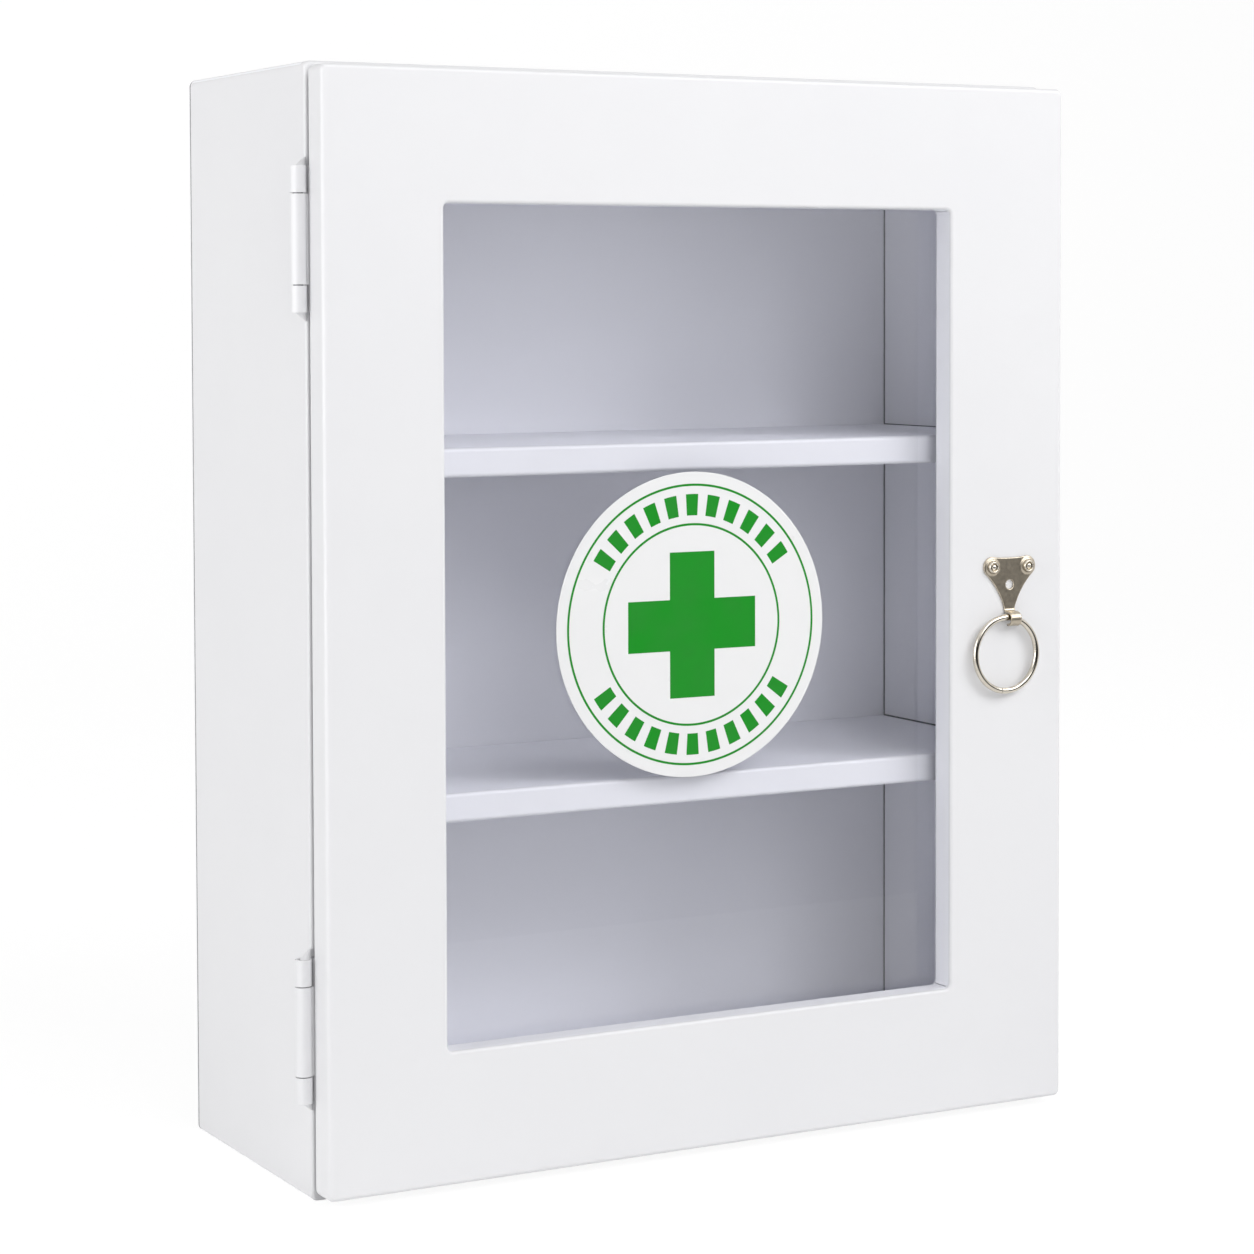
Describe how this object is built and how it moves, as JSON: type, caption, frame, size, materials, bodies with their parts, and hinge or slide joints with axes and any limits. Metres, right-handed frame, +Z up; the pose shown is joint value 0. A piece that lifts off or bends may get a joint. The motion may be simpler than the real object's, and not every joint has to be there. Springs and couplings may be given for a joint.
{
  "type": "wall medicine cabinet",
  "caption": "White folded sheet-steel wall cabinet with fixed shelves, a framed window door on butt hinges, a magnetic catch and a drop-ring pull.",
  "frame": {"origin": "centre of the case underside", "axes": "+Z up along the height, +Y from the door towards the wall, +X to the right seen from the front"},
  "size_m": [0.3182, 0.1333, 0.4],
  "materials": {
    "white_paint": "semi-gloss powder coat",
    "zinc_steel": "zinc plated",
    "nickel": "satin nickel plate",
    "white_plastic": "moulded",
    "ferrite": "dull",
    "clear_rubber": "soft, translucent",
    "foam_tape": "fine foam",
    "clear_pane": "clear, polished",
    "sticker_vinyl": "printed vinyl"
  },
  "bodies": {
    "cabinet": {"case_wrap": "white_paint", "back_panel": "white_paint", "shelf_upper": "white_paint", "shelf_lower": "white_paint", "hinge_upper_case_leaf": "white_paint", "hinge_lower_case_leaf": "white_paint", "hinge_upper_pin": "zinc_steel", "hinge_lower_pin": "zinc_steel", "catch_bracket": "white_paint", "catch_housing": "white_plastic", "catch_magnet": "ferrite", "catch_pole_plates": "zinc_steel", "catch_screws": "zinc_steel", "door_buffers": "clear_rubber"},
    "door": {"door_pan": "white_paint", "hinge_upper_door_leaf": "white_paint", "hinge_lower_door_leaf": "white_paint", "sealing_tape": "foam_tape", "window_pane": "clear_pane", "pane_clips": "zinc_steel", "clip_studs": "zinc_steel", "clip_nuts": "zinc_steel", "sticker": "sticker_vinyl", "strike_plate": "zinc_steel", "strike_rivets": "zinc_steel", "pull_plate": "nickel", "pull_screws": "nickel", "pull_nuts": "zinc_steel"},
    "ring": {"pull_ring": "nickel"}
  },
  "joints": [
    {"name": "door_hinge", "type": "hinge", "parent": "cabinet", "child": "door", "pos_m": [-0.1592, -0.05758, 0], "axis": [0, 0, -1], "range_deg": [0, 180]},
    {"name": "ring_swing", "type": "hinge", "parent": "door", "child": "ring", "pos_m": [0.1308, -0.07425, 0.1932], "axis": [-1, 0, 0], "range_deg": [-3, 160]}
  ]
}
